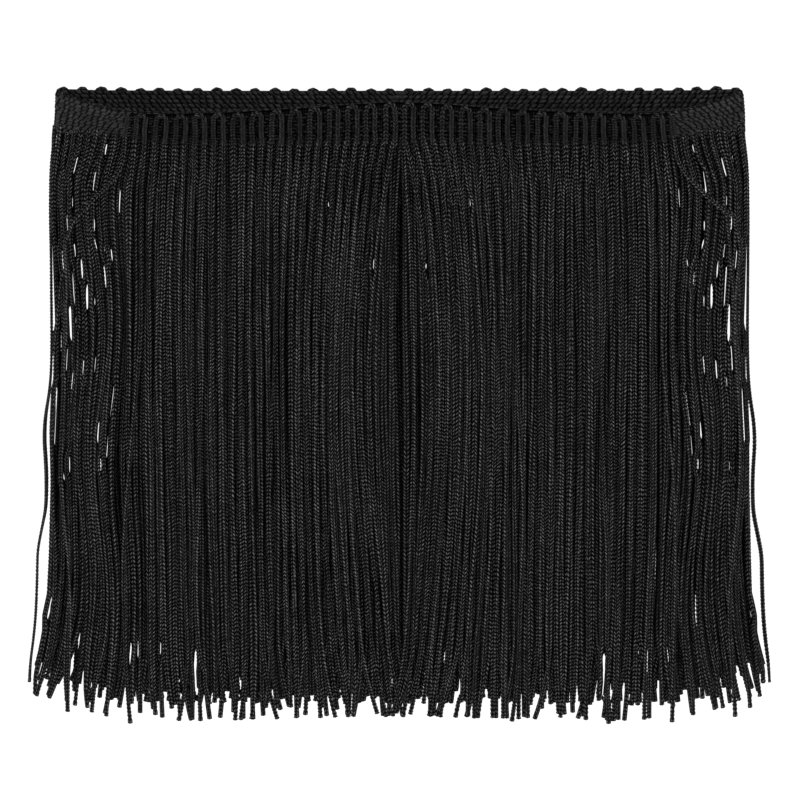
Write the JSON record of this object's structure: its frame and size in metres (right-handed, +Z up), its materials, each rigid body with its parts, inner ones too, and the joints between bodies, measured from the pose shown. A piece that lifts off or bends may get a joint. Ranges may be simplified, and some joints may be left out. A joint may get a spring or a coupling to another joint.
{
  "type": "chainette fringe trim",
  "caption": "Black chainette fringe trim, a knitted heading with a scalloped top edge, closed into a flattened loop with cut cords hanging from its foot.",
  "frame": {"origin": "on the heading's top edge, level with the tops of the scallops, at the middle of the loop's straight back half", "axes": "+Z up, +X to the right along the back half, -Y towards the front half that the camera sees"},
  "size_m": [0.1704, 0.0158, 0.1527],
  "materials": {
    "heading_yarn": "black rayon yarn, closely knitted, matt with a faint sheen",
    "chainette_cord": "black rayon chainette cord, knitted in a chain, with a soft silky sheen"
  },
  "bodies": {
    "root": {"heading": "heading_yarn", "fringe_back_left": "chainette_cord", "fringe_back_right": "chainette_cord", "fringe_front_left": "chainette_cord", "fringe_front_right": "chainette_cord", "fringe_turn_left": "chainette_cord", "fringe_turn_right": "chainette_cord"}
  },
  "joints": []
}
